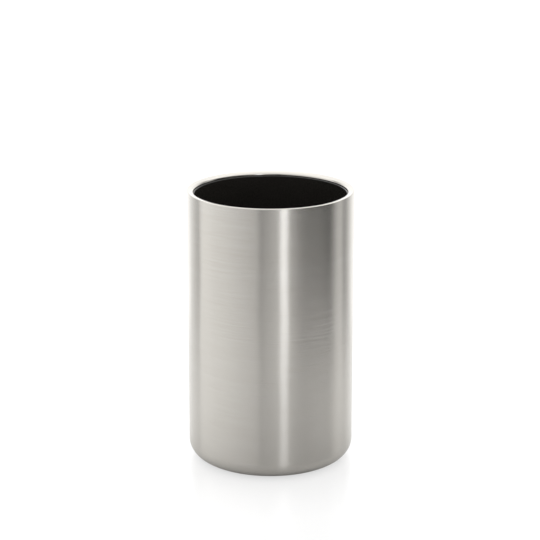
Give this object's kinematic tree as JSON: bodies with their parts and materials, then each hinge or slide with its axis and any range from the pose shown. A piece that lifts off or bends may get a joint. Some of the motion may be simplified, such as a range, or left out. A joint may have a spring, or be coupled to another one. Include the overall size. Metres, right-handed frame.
{
  "type": "bottle cooler",
  "caption": "Straight double-wall bottle cooler: brushed steel outer shell with a folded polished rim, a black coated liner and a recessed base on a soft pad.",
  "frame": {"origin": "on the axis, at the surface that the cooler stands on (the underside of the base pad)", "axes": "+Z along the axis, upwards out of the mouth; +X and +Y are any two directions across it, because the cooler is round"},
  "size_m": [0.12, 0.12, 0.2],
  "materials": {
    "brushed_shell": "stainless sheet, fine grain brushed round the body, rim polished",
    "liner_coating": "stainless sheet with a smooth black gloss coating",
    "seam_steel": "bare stainless weld bead, ground and polished",
    "plate_steel": "pressed stainless sheet, dull mill finish",
    "pad_rubber": "matt black foam rubber"
  },
  "bodies": {
    "root": {"outer_shell": "brushed_shell", "inner_liner": "liner_coating", "rim_seam": "liner_coating", "base_plate": "plate_steel", "base_seam": "seam_steel", "vent_plug": "seam_steel", "base_pad": "pad_rubber"}
  },
  "joints": []
}
